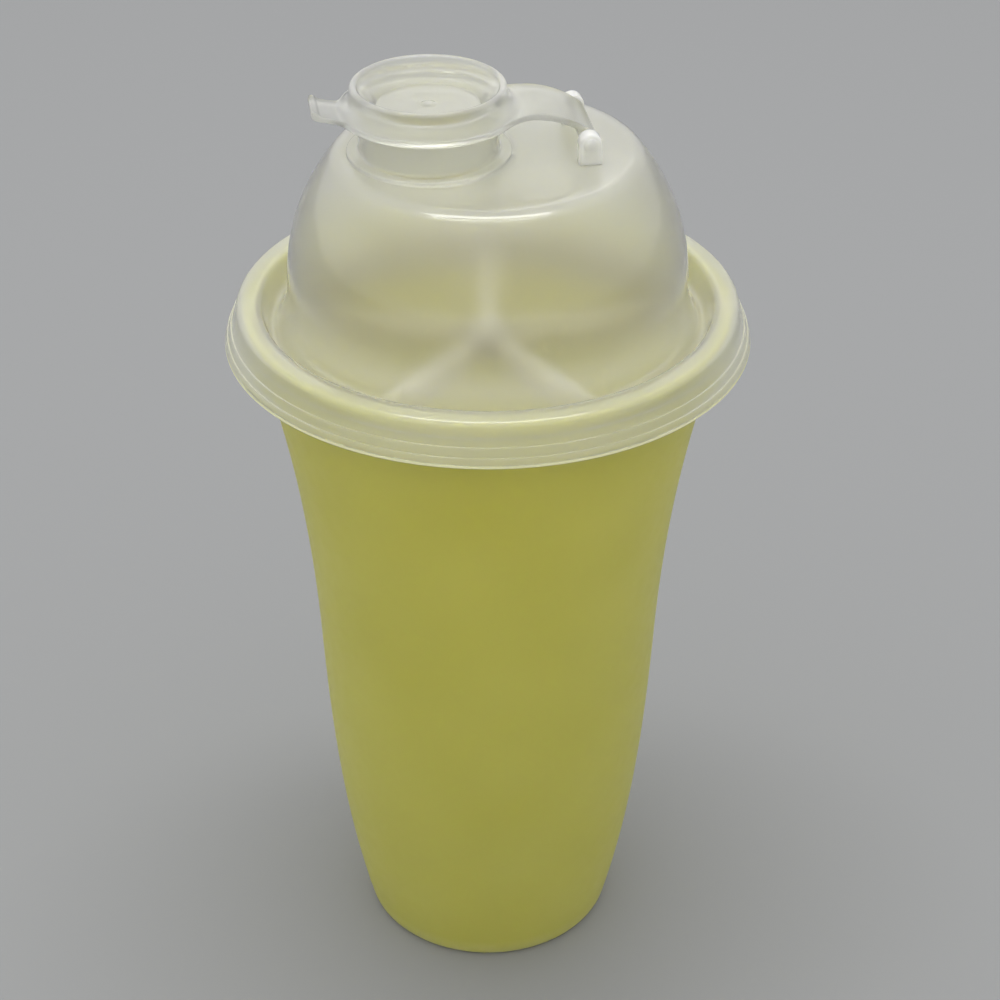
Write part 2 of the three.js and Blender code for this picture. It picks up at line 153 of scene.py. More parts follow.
FLANGE_HOLLOW = 1.6
PLATE_EDGE = 0.35
PLATE_EDGE_SQUARE = 0.8
TAB_REACH = 4.9
TAB_WIDTH = 9
TAB_ROOT_WIDTH = 12
TAB_RISE = 1.4
TAB_LIP_HEIGHT = 0.6
TAB_LIP_WIDTH = 0.9
TAB_CORNER = 1.0
TAB_STRAIGHT = 1.2
TAB_NECK_HANDLE = 0.5
TAB_ROOT_HANDLE = 1.6
STRAP_THICKNESS = 1.2
STRAP_CROWN = 1.6
STRAP_KNEE = 1.4
STRAP_WIDTH = 14.6
STRAP_SHOULDER = 6
STRAP_CORNER = 0.5
STRAP_BLEND = 3
BARREL_RADIUS = 1.6
BARREL_BLEND = (-0.5, 0.4)

# Mixing wheel: collar in the lid's mouth, stop flange, hub and radial vanes
COLLAR_WALL = 1.2
COLLAR_DROP = 7
COLLAR_RISE = 2.4
COLLAR_EDGE = 0.45
STOP_FLANGE_WIDTH = 1.7
STOP_FLANGE_THICKNESS = 1.1
STOP_FLANGE_EDGE = 0.4
STOP_FLANGE_FILLET = 0.3
VANE_COUNT = 5
VANE_TURN = 9.5
VANE_THICKNESS = 2.4
VANE_TOP_DROP = 1.4
VANE_DEPTH = 9.4
VANE_DEEP_RADIUS = 27
VANE_EDGE = 0.45
HUB_RADIUS = 4.2
HUB_DEPTH = 4.4
HUB_CROWN = 0.8
HUB_EDGE = 0.5

# Shares of light that the walls pass, the flat top's part of the dome's share, what ears and hem lose (the
# hem so that its painted glow shows), and the runs over which these change
YELLOW_CLEAR = 0.3
WHEEL_CLEAR = 0.22
TROUGH_CLEAR = 0.55
RIM_CLEAR = 0.75
DOME_CLEAR = 0.86
TOP_PART = 0.92
SPOUT_CLEAR = 0.82
STRAP_CLEAR = 0.98
EAR_LOSS = 0.45
HEM_LOSS = 0.72
RIM_RUN = (-0.8, 0.6)
DOME_RUN = 5
TOP_RUN = 4
EAR_RUN = 1
STRAP_RUN = 2

# Plastics: how far light scatters in them, their roughness, the height and fade of the painted glow at the
# skirt's lower edge, sizes and strengths of clouds, waves, grain and scuffs, and height and strength of
# heel wear.
# The grain is drawn coarser than a satin tool leaves it, so that it shows
YELLOW_SCATTER = 8
MILKY_SCATTER = 3
WHEEL_SCATTER = 12
SATIN_LEAST = 0.36
SATIN_MOST = 0.5
MILKY_HAZE = 0.36
WHEEL_HAZE = 0.5
HAZE_SPREAD = 0.05
PAINTED_GLOW_HEIGHT = 0.7
PAINTED_GLOW_FADE = 0.2
CLOUD_SIZE = 18
CLOUD_SPREAD = 0.07
WAVE_SIZE = 8
WAVE_DEPTH = 0.04
GRAIN_SIZE = 0.8
GRAIN_DEPTH = 0.012
SCUFF_SIZE = 3
HEEL_WEAR = 5
HEEL_PALENESS = 0.9

# Columns round the cup and its small pieces, and the longest steps along their profiles
CUP_COLUMNS = 192
CAP_COLUMNS = 288
HUB_COLUMNS = 48
PIN_COLUMNS = 32
PROFILE_STEP = 0.9
TUMBLER_STEP = 1.5
COLLAR_STEP = 1.2
SMALL_STEP = 0.8
CAP_STEP = 0.7
EAR_STEP = 0.3

# Points nearer than this are one, points round a small corner and round the plate's edge, rows along a
# vane, and rows over and under the cap's plate, which crowd together at its edge
SAME_PLACE = 1e-4
CORNER_POINTS = 6
PLATE_EDGE_POINTS = 13
VANE_ROWS = 40
PLATE_ROWS = 34
UNDER_ROWS = 30
ROW_CROWDING = 1.6

# Radii of the small fans that close the middles of base, cap, hub, pins and ears
BASE_FAN = 2
CAP_FAN = 1.5
HUB_FAN = 0.5
PIN_FAN = 0.3
EAR_FAN = 0.2

# Stage: half the floor's side in metres, the way from which the surround is brightest, and its strengths
FLOOR_HALF = 4
BRIGHT_SIDE = (-0.4, -0.72, 0.56)
SURROUND_LEAST = 0.68
SURROUND_MOST = 1.12

# A soft box that points this nearly straight down has its first side square to Y
UPRIGHT = 0.99

# Camera of the photograph: sensor, lens and place in millimetres, and tilt, roll, turn and aim in degrees
SENSOR = 36
LENS = 82.8
TILT = 33.01
ROLL = 0.16
PART_TURN = 8.5
AIM_ASIDE = 0.357
CAMERA_AWAY = 387.2
CAMERA_HEIGHT = 351.5


# Profiles, as arrays of (radius, height)

def unit(vectors):
    """Each vector divided by its own length."""
    return vectors / np.linalg.norm(vectors, axis=-1, keepdims=True)


def arc(centre, radius, first, last, steps):
    """Points at centre + radius (cos a, sin a), with a going evenly from first to last, in degrees."""
    a = np.radians(np.linspace(first, last, steps + 1))
    return np.column_stack([centre[0] + radius * np.cos(a), centre[1] + radius * np.sin(a)])


def curve(start, leave, arrive, end, steps):
    """Points of the cubic Bezier curve from start to end with handles leave and arrive."""
    t = np.linspace(0, 1, steps + 1)[:, None]
    weights = np.hstack([(1 - t) ** 3, 3 * t * (1 - t) ** 2, 3 * t ** 2 * (1 - t), t ** 3])
    return weights @ np.array([start, leave, arrive, end], float)


def side(low, low_lean, high, high_lean, steps):
    """A smooth side between two heights, leaning by the given radius per height at each end."""
    third = (high[1] - low[1]) / 3
    low_handle = (low[0] + low_lean * third, low[1] + third)
    high_handle = (high[0] - high_lean * third, high[1] - third)
    return curve(low, low_handle, high_handle, high, steps)


def eased(corners, radii, steps=6):
    """Straight runs, with each inner corner replaced by the arc of its radius that touches both runs."""
    p = np.array(corners, float)
    back, ahead = unit(p[:-2] - p[1:-1]), unit(p[2:] - p[1:-1])
    half = np.arccos(np.clip((back * ahead).sum(1), -1, 1)) / 2
    radius = np.broadcast_to(np.array(radii, float), half.shape)
    centre = p[1:-1] + unit(back + ahead) * (radius / np.sin(half))[:, None]
    reach = (radius / np.tan(half))[:, None]
    first, last = p[1:-1] + back * reach - centre, p[1:-1] + ahead * reach - centre
    sweep = np.arctan2(first[:, 0] * last[:, 1] - first[:, 1] * last[:, 0], (first * last).sum(1))
    turn = sweep[:, None] * np.linspace(0, 1, steps + 1)
    x = centre[:, :1] + first[:, :1] * np.cos(turn) - first[:, 1:] * np.sin(turn)
    y = centre[:, 1:] + first[:, :1] * np.sin(turn) + first[:, 1:] * np.cos(turn)
    return np.concatenate([p[:1], np.stack([x, y], -1).reshape(-1, 2), p[-1:]])


def joined(*runs):
    """Runs of points end to end, without points that repeat the one before."""
    path = np.concatenate([np.array(run, float).reshape(-1, 2) for run in runs])
    return path[np.r_[True, np.linalg.norm(np.diff(path, axis=0), axis=1) > SAME_PLACE]]


def shifted(path, distance):
    """The path moved sideways to its right, each point along the mitre of the two runs that meet there."""
    run = unit(np.diff(path, axis=0))
    right = np.column_stack([run[:, 1], -run[:, 0]])
    before, after = np.vstack([right[:1], right]), np.vstack([right, right[-1:]])
    mitre = unit(before + after)
    return path + mitre * (distance / (mitre * after).sum(1))[:, None]


def spaced(path, longest=PROFILE_STEP):
    """The same chain with points added evenly on its longer runs, so that none is longer than longest."""
    path = joined(path)
    run = np.linalg.norm(np.diff(path, axis=0), axis=1)
    length = np.r_[0, np.cumsum(run)]
    parts = np.ceil(run / longest).astype(int)
    part = np.repeat(np.arange(len(run)), parts)
    share = (np.arange(len(part)) - np.repeat(np.cumsum(parts) - parts, parts)) / parts[part]
    places = np.r_[length[part] + share * run[part], length[-1]]
    return np.column_stack([np.interp(places, length, path[:, k]) for k in (0, 1)])


def smooth_step(low, high, x):
    """0 below low, 1 above high and 3 t^2 - 2 t^3 between."""
    t = np.clip((x - low) / (high - low), 0, 1)
    return t * t * (3 - 2 * t)


# Sheets, as arrays of rows and columns of points, whose columns go round

def turned(path, angles, axis_x=0.0):
    """A profile turned about an upright axis: x = axis + r cos a, y = r sin a, z = height."""
    r, z = path[:, :1], path[:, 1:]
    return np.stack([axis_x + r * np.cos(angles), r * np.sin(angles), z + 0 * angles], -1)


def turned_across(path, columns, x, z):
    """A profile of (radius, y) turned about a level axis along Y through (x, z)."""
    a = all_round(columns)
    return np.stack([x + path[:, :1] * np.cos(a), path[:, 1:] + 0 * a, z + path[:, :1] * np.sin(a)], -1)


def ruled(first, last, steps):
    """Rows of straight lines between two rows, ends left out: first + (last - first) t."""
    t = (np.arange(1, steps) / steps)[:, None, None]
    return first + (last - first) * t


def all_round(columns):
    """Even angles round a circle."""
    return np.linspace(0, 2 * np.pi, columns, endpoint=False)


def sheet_faces(points, ring):
    """Corner numbers of a sheet's quads, and of the fans that close its end rows.

    A ring has no fans, because its last row meets its first."""
    rows, columns = points.shape[:2]
    number = np.arange(rows * columns).reshape(rows, columns)
    low, high = (number, np.roll(number, -1, 0)) if ring else (number[:-1], number[1:])
    quads = np.stack([low, np.roll(low, -1, 1), np.roll(high, -1, 1), high], -1).reshape(-1, 4)
    pole = rows * columns
    first_fan = np.stack([np.full(columns, pole), np.roll(number[0], -1), number[0]], -1)
    last_fan = np.stack([np.full(columns, pole + 1), number[-1], np.roll(number[-1], -1)], -1)
    return quads, np.zeros((0, 3), int) if ring else np.vstack([first_fan, last_fan])


def raised(sheets):
    """Sheets lifted from heights above the tumbler's lip to heights above its foot."""
    return [(grid + [0, 0, TUMBLER_HEIGHT], ring) for grid, ring in sheets]


def enclosed(points, quads, fans):
    """Six times the volume inside the faces, positive where they point outwards."""
    triangles = np.vstack([quads[:, [0, 1, 2]], quads[:, [0, 2, 3]], fans])
    a, b, c = (points[triangles[:, k]] for k in range(3))
    return (a * np.cross(b, c)).sum()


def moulding(name, node, body, sheets, finish):
    """One piece from closed sheets, each a pair of its grid and whether its rows make a ring."""
    points, faces, count = [], [], 0
    for grid, ring in sheets:
        corners = grid.reshape(-1, 3)
        corners = corners if ring else np.vstack([corners, grid[0].mean(0), grid[-1].mean(0)])
        quads, fans = sheet_faces(grid, ring)
        if enclosed(corners, quads, fans) < 0:
            quads, fans = quads[:, ::-1], fans[:, ::-1]
        points.append(corners)
        faces += (quads + count).tolist() + (fans + count).tolist()
        count += len(corners)
    mesh = bpy.data.meshes.new(name)
    mesh.from_pydata((np.vstack(points) * MM).tolist(), [], faces)
    mesh.shade_smooth()
    mesh.materials.append(finish)
    piece = bpy.data.objects.new(name, mesh)
    scene.collection.objects.link(piece)
    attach(piece, body)
    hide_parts(node)


# Places that the mouldings share: radii, X or Y across the lid's top, and heights above the tumbler's lip

lip_inside = LIP_RADIUS - TUMBLER_WALL * math.hypot(1, LIP_SLOPE)
rim_inside = lip_inside - FIT - LID_WALL
rim_outside = LIP_RADIUS + FIT + LID_WALL
rim_low = FIT + LID_WALL
rim_high = rim_low + RIM_FALL
skirt_foot = np.array([rim_outside + SKIRT_FLARE, rim_low - SKIRT_DROP])
dome_radius = rim_inside - TROUGH_WIDTH
dome_foot = rim_high + DOME_FOOT_RISE
lid_top = dome_foot + DOME_RISE
trough_top = rim_high - TROUGH_DEPTH
flare_drop = dome_foot - trough_top
flare_radius = (flare_drop ** 2 + FLARE_SPREAD ** 2) / (2 * FLARE_SPREAD)
neck_top = lid_top + NECK_HEIGHT
bore_radius = NECK_RADIUS - NECK_WALL
hinge_z = lid_top + HINGE_HEIGHT
ear_inside = STRAP_WIDTH / 2 + FIT
ear_outside = ear_inside + EAR_THICKNESS
cap_room_top = neck_top + FIT
cap_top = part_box("flip_cap")[1][2] / MM - TUMBLER_HEIGHT
cap_bottom = neck_top - CAP_SKIRT_DEPTH
cap_inside = NECK_RADIUS + CAP_ROOM
cap_foot = cap_inside + CAP_WALL
cap_rim = cap_foot - CAP_TAPER
plug_radius = bore_radius - FIT
flange_radius = cap_foot + FLANGE_WIDTH
flange_top = cap_bottom + FLANGE_THICKNESS
tab_end = SPOUT_X - flange_radius - TAB_REACH
tab_root = SPOUT_X - math.sqrt(flange_radius ** 2 - (TAB_ROOT_WIDTH / 2) ** 2)
shoulder_spread = flange_radius + STRAP_SHOULDER
shoulder_out = math.sqrt(shoulder_spread ** 2 - (STRAP_WIDTH / 2 + STRAP_SHOULDER) ** 2)

# Height above the foot up to which the skirt's lower edge carries its painted glow
painted_glow_top = TUMBLER_HEIGHT + skirt_foot[1] + PAINTED_GLOW_HEIGHT


# Tumbler

def tumbler_sheet():
    """The wall's outline from the base's middle up to the lip, over it, and back inside at an even wall."""
    heel_end = -math.degrees(math.atan(HEEL_SLOPE))
    heel = arc((FOOT_RADIUS, HEEL_ROUND), HEEL_ROUND, -90, heel_end, steps=12)
    waist = (WAIST_RADIUS, WAIST_HEIGHT)
    lip = (LIP_RADIUS, TUMBLER_HEIGHT - TUMBLER_WALL / 2)
    foot_inside = FOOT_RADIUS - FOOT_WIDTH
    base = [(BASE_FAN, FOOT_RECESS), (foot_inside - FOOT_RECESS, FOOT_RECESS), (foot_inside, 0)]
    outside = joined(
        base, heel,
        side(heel[-1], HEEL_SLOPE, waist, WAIST_SLOPE, steps=56),
        side(waist, WAIST_SLOPE, lip, LIP_SLOPE, steps=60),
    )
    inside = shifted(outside, -TUMBLER_WALL)
    middle = (outside[-1] + inside[-1]) / 2
    over = outside[-1] - middle
    lean = math.degrees(math.atan2(over[1], over[0]))
    path = joined(
        eased(outside[:4], RECESS_ROUNDS), outside[4:],
        arc(middle, TUMBLER_WALL / 2, lean, lean + 180, steps=10),
        inside[:3:-1], eased(inside[3::-1], FLOOR_ROUNDS),
    )
    return turned(spaced(path, TUMBLER_STEP), all_round(CUP_COLUMNS))


# Lid

def lid_skin():
    """Upper outline: rounded edge, ball, flare turning outwards below it, and the trough's round bottom."""
    ball_reach = dome_radius - DOME_EDGE_ROUND
    edge_rise = DOME_RISE - DOME_EDGE_ROUND
    edge_radius = math.sqrt(ball_reach ** 2 - edge_rise ** 2)
    edge_angle = math.degrees(math.asin(edge_rise / ball_reach))
    flare_angle = math.degrees(math.asin(flare_drop / flare_radius))
    flare_centre = (dome_radius + flare_radius, dome_foot)
    flare = arc(flare_centre, flare_radius, 180, 180 + flare_angle, steps=14)
    wall_foot = np.array([rim_inside - LIP_SLOPE * TROUGH_DEPTH, trough_top])
    down = unit(flare[-1] - flare[-2])
    up = unit(np.array([rim_inside, rim_high]) - wall_foot)
    return joined(
        arc((edge_radius, dome_foot + edge_rise), DOME_EDGE_ROUND, 90, edge_angle, steps=14),
        arc((0, dome_foot), dome_radius, edge_angle, 0, steps=40),
        flare,
        curve(flare[-1], flare[-1] + down * TROUGH_ROUND,
              wall_foot - up * TROUGH_ROUND, wall_foot, steps=16),
    )


def lid_shell_path():
    """The shell's outline from the flat top over the rim, round the skirt and back under the dome."""
    skin = lid_skin()
    rim = np.array([(rim_inside, rim_high), (rim_outside, rim_low), skirt_foot])
    under = shifted(joined(skin, rim), LID_WALL)
    lean = (skirt_foot[0] - rim_outside) / (rim_low - skirt_foot[1])
    band_top = skirt_foot + np.array([-lean, 1]) * SKIRT_BAND
    hem_top = skirt_foot + np.array([-lean, 1]) * SKIRT_HEM
    step = np.array([SKIRT_STEP, 0])
    inner_foot = np.array([under[-1][0] + lean * (under[-1][1] - skirt_foot[1]), skirt_foot[1]])
    bead_inside = LIP_RADIUS + FIT
    bead_high = FIT - SNAP_BEAD_DROP + SNAP_BEAD_CREST / 2
    bead_low = bead_high - SNAP_BEAD_CREST
    inner_at = inner_foot[0] + lean * (skirt_foot[1] - np.array([bead_high, bead_low]))
    flank_high = (inner_at[0] - bead_inside) / (1 + lean)
    flank_low = (inner_at[1] - bead_inside) / (1 - lean)
    corners = np.vstack([
        skin[-1], rim[:2], band_top, band_top + step, hem_top + step, hem_top + 2 * step,
        skirt_foot + 2 * step, inner_foot,
        (bead_inside + flank_low, bead_low - flank_low), (bead_inside, bead_low),
        (bead_inside, bead_high), (bead_inside + flank_high, bead_high + flank_high),
        under[-2], under[-3], under[-4],
    ])
    radii = [RIM_ROUND] * 2 + [*STEP_ROUNDS] * 2 + [HEM_EDGE] * 2 + [BEAD_EDGE] * 4 + [RIM_UNDER_ROUND] * 2
    return spaced(joined(skin, eased(corners, radii), under[-4::-1]))


def lid_sheet():
    """The shell's rows about the cup's axis and the spout's rows about its own.

    Straight rows join them over the flat top and under it."""
    angles = all_round(CUP_COLUMNS)
    shell = turned(lid_shell_path(), angles)
    boss_top = lid_top + BOSS_HEIGHT
    boss_radius = NECK_RADIUS + BOSS_WIDTH
    under_top = lid_top - LID_WALL
    spout = turned(spaced(eased([
        (bore_radius + UNDER_SPOUT, under_top), (bore_radius, under_top),
        (bore_radius, neck_top), (NECK_RADIUS, neck_top),
        (NECK_RADIUS, boss_top), (boss_radius, boss_top), (boss_radius, lid_top),
    ], SPOUT_ROUNDS)), angles, SPOUT_X)
    under_rows = ruled(shell[-1], spout[0], steps=10)
    top_rows = ruled(spout[-1], shell[0], steps=12)
    return np.concatenate([shell, under_rows, spout, top_rows])


def ear_sheet(side_of):
    """A hinge ear: a post's side outline carried across its thickness.

    Rows go from the bottom of the pin's blind hole over the inner face, across the rounded edges and over
    the outer face to the top of its low round boss."""
    height = HINGE_HEIGHT + EAR_ROOT
    top = arc((0, 0), EAR_RADIUS, 0, 180, steps=28)
    foot = eased([(-EAR_RADIUS, 0), (-EAR_RADIUS, -height), (EAR_RADIUS, -height), (EAR_RADIUS, 0)],
                 EAR_FOOT_ROUND)
    outline = spaced(joined(top, foot), EAR_STEP)[:-1]
    along = unit(np.roll(outline, -1, 0) - np.roll(outline, 1, 0))
    outward = np.column_stack([along[:, 1], -along[:, 0]])
    ring = unit(outline)
    hole = PIN_RADIUS + PIN_PLAY
    hole_bottom = EAR_THICKNESS - EAR_FLOOR
    turn = np.radians(np.linspace(0, 90, CORNER_POINTS))[:, None, None]
    swell = np.sin(turn)
    depth = 1 - np.cos(turn[:, 0, 0])
    inner_edge = outline + outward * EAR_EDGE * (swell - 1)
    outer_edge = outline + outward * EAR_CROWN * (swell - 1)
    face = EAR_THICKNESS - EAR_FACE_RISE
    boss = ring * EAR_FACE_RADIUS * np.cos(turn)
    plan = np.concatenate([
        [ring * EAR_FAN, ring * hole, ring * hole, ring * (hole + HOLE_EDGE)], inner_edge,
        outer_edge[::-1], boss[:-1],
    ])
    across = np.concatenate([
        [hole_bottom, hole_bottom, HOLE_EDGE, 0], EAR_EDGE * depth,
        face - EAR_CROWN * depth[::-1], face + EAR_FACE_RISE * swell[:-1, 0, 0],
    ])
    y = side_of * (ear_inside + across)[:, None] + 0 * plan[..., 0]
    return np.stack([HINGE_X + plan[..., 0], y, hinge_z + plan[..., 1]], -1)


# Flip cap

def strap_line():
    """The strap's upper line in X and height: a Bezier arch from the flange down on to the hinge barrel."""
    root = SPOUT_X + shoulder_out * flange_radius / shoulder_spread
    on_barrel = BARREL_RADIUS * math.sqrt(0.5)
    return curve(
        (root, flange_top), ((root + HINGE_X) / 2, flange_top + STRAP_CROWN),
        (HINGE_X - BARREL_RADIUS, flange_top - STRAP_KNEE),
        (HINGE_X + on_barrel, hinge_z + on_barrel), steps=60,
    )


def plate_heights(x):
    """Heights of the cap's plate above and below at each X: tab, flange, strap and barrel."""
    arch = strap_line()
    below = shifted(arch, STRAP_THICKNESS)
    reach = np.clip(x - HINGE_X, -BARREL_RADIUS, BARREL_RADIUS)
    drop = np.sqrt(np.maximum(BARREL_RADIUS ** 2 - reach ** 2, 0))
    strap_start = SPOUT_X + cap_foot
    on_strap = smooth_step(strap_start - STRAP_BLEND, strap_start + STRAP_BLEND, x)
    rise = TAB_RISE * np.clip((tab_root - x) / (tab_root - tab_end), 0, 1)
    lip = TAB_LIP_HEIGHT * (1 - smooth_step(tab_end + TAB_LIP_WIDTH, tab_end + 2 * TAB_LIP_WIDTH, x))
    arch_top = np.where(x > arch[-1, 0], hinge_z + drop, np.interp(x, arch[:, 0], arch[:, 1]))
    arch_low = np.interp(x, below[:, 0], below[:, 1])
    barrel_start = HINGE_X - BARREL_RADIUS
    on_barrel = smooth_step(barrel_start + BARREL_BLEND[0], barrel_start + BARREL_BLEND[1], x)
    arch_low = arch_low + (hinge_z - drop - arch_low) * on_barrel
    above = flange_top + rise + lip + (arch_top - flange_top) * on_strap
    under = cap_bottom + rise + (arch_low - cap_bottom) * on_strap
    return above, under


def plate_top(plan):
    """The plate's upper height, drawn up to the wall's foot by a curve that is hollow outwards."""
    high = plate_heights(plan[..., 0])[0]
    out = np.hypot(plan[..., 0] - SPOUT_X, plan[..., 1])
    past = FLANGE_WIDTH / 3
    near = np.clip((flange_radius + past - out) / (FLANGE_WIDTH + past), 0, 1) ** FLANGE_HOLLOW
    return high + (flange_top + FLANGE_FLARE - high) * near


def plate_outline():
    """Plan of the cap's plate: one half, from tab's end past flange to strap's end, and its mirror."""
    half, strap_half = TAB_WIDTH / 2, STRAP_WIDTH / 2
    shoulder_x = SPOUT_X + shoulder_out
    leave = math.degrees(math.atan2(strap_half + STRAP_SHOULDER, shoulder_out))
    arrive = math.degrees(math.atan2(TAB_ROOT_WIDTH / 2, tab_root - SPOUT_X))
    strap_end = HINGE_X + BARREL_RADIUS
    tab_side = tab_end + TAB_STRAIGHT
    root = np.array([tab_root, TAB_ROOT_WIDTH / 2])
    tangent = np.array([TAB_ROOT_WIDTH / 2, SPOUT_X - tab_root]) / flange_radius
    path = joined(
        eased([(tab_end, 0), (tab_end, half), (tab_side, half)], TAB_CORNER),
        curve((tab_side, half), (tab_end + TAB_REACH - TAB_NECK_HANDLE, half),
              root - TAB_ROOT_HANDLE * tangent, root, steps=16),
        arc((SPOUT_X, 0), flange_radius, arrive, leave, steps=60),
        arc((shoulder_x, strap_half + STRAP_SHOULDER), STRAP_SHOULDER, 180 + leave, 270, steps=16),
        eased([(shoulder_x, strap_half), (strap_end, strap_half), (strap_end, 0)], STRAP_CORNER),
    )
    loop = np.concatenate([path, path[-2:0:-1] * [1, -1], path[:1]])
    length = np.r_[0, np.cumsum(np.linalg.norm(np.diff(loop, axis=0), axis=1))]
    places = np.linspace(0, length[-1], CAP_COLUMNS, endpoint=False)
    return np.column_stack([np.interp(places, length, loop[:, k]) for k in (0, 1)])


def at_height(plan, z):
    """Rows of plan points given their heights."""
    return np.concatenate([plan, z[..., None]], -1)


def cap_sheet():
    """The cap from its nub over dish, rim, wall and plate, round the plate's edge and back to the plug.

    Columns are rays from the spout's axis to even places on the plate's outline, so that the turned rows
    and the plate's rows share them."""
    outline = plate_outline()
    angles = np.arctan2(outline[:, 1], outline[:, 0] - SPOUT_X)
    along = unit(np.roll(outline, -1, 0) - np.roll(outline, 1, 0))
    outward = np.column_stack([-along[:, 1], along[:, 0]])
    inner = outline - outward * PLATE_EDGE

    dish_floor = cap_top - DISH_DEPTH
    dish_radius = plug_radius - DISH_INSET
    rim_round = CAP_RIM_WIDTH / 2
    rim_foot = np.array([cap_rim, cap_top - rim_round])
    wall_foot = np.array([cap_foot, flange_top + FLANGE_FLARE])
    nub = arc((0, dish_floor + NUB_HEIGHT - NUB_BALL), NUB_BALL, NUB_BALL_FROM, NUB_BALL_TO, steps=4)
    dish = eased([
        (NUB_EDGE_RADIUS, dish_floor + NUB_EDGE_HEIGHT), (NUB_FOOT_RADIUS, dish_floor),
        (dish_radius, dish_floor), (dish_radius + DISH_CHAMFER, dish_floor + DISH_CHAMFER),
        (cap_rim - CAP_RIM_WIDTH, cap_top - rim_round),
    ], DISH_ROUNDS)
    rim = arc((cap_rim - rim_round, cap_top - rim_round), rim_round, 180, 0, steps=12)
    wall = curve(rim_foot, rim_foot + WALL_TOP_HANDLE,
                 wall_foot + WALL_FOOT_HANDLE, wall_foot, steps=10)
    upper = turned(spaced(joined(nub, dish, rim, wall), CAP_STEP), angles, SPOUT_X)

    start = upper[-1, :, :2]
    share = 1 - (1 - np.linspace(0, 1, PLATE_ROWS)[1:, None, None]) ** ROW_CROWDING
    plan = start + (inner - start) * share
    top_rows = at_height(plan, plate_top(plan))

    high, low = plate_top(inner), plate_heights(inner[:, 0])[1]
    turn = np.radians(np.linspace(0, 180, PLATE_EDGE_POINTS))[1:-1, None]
    edge_plan = inner + outward * PLATE_EDGE * np.sin(turn)[..., None] ** PLATE_EDGE_SQUARE
    squared = np.sign(np.cos(turn)) * np.abs(np.cos(turn)) ** PLATE_EDGE_SQUARE
    edge_rows = at_height(edge_plan, (high + low) / 2 + (high - low) / 2 * squared)

    room = cap_inside + ROOM_EDGE
    inside = np.column_stack([SPOUT_X + room * np.cos(angles), room * np.sin(angles)])
    share = np.linspace(0, 1, UNDER_ROWS)[:, None, None] ** ROW_CROWDING
    plan = inner + (inside - inner) * share
    bottom_rows = at_height(plan, plate_heights(plan[..., 0])[1])

    plug_inside = plug_radius - CAP_WALL
    plug_bottom = neck_top - PLUG_DEPTH
    under_dish = dish_floor - CAP_WALL
    lower = turned(spaced(eased([
        (cap_inside, cap_bottom), (cap_inside - ROOM_LEAN, cap_bottom + ROOM_LIP),
        (cap_rim - CAP_WALL, cap_top - CAP_RIM_WIDTH - CAP_WALL),
        (plug_radius, cap_room_top), (plug_radius - PLUG_TAPER, plug_bottom),
        (plug_inside, plug_bottom), (plug_inside, under_dish), (CAP_FAN, under_dish),
    ], ROOM_ROUNDS)), angles, SPOUT_X)
    return np.concatenate([upper, top_rows, edge_rows, bottom_rows, lower])


def pin_sheet(side_of):
    """A hinge pin: a round bar along Y from inside the barrel almost to the bottom of the ear's hole."""
    end = ear_outside - EAR_FLOOR - PIN_END_PLAY
    root = STRAP_WIDTH / 2 - PIN_ROOT
    path = eased([(PIN_FAN, end), (PIN_RADIUS, end), (PIN_RADIUS, root), (PIN_FAN, root)], PIN_ROUNDS)
    return turned_across(spaced(path, SMALL_STEP) * [1, side_of], PIN_COLUMNS, HINGE_X, hinge_z)


# Mixing wheel

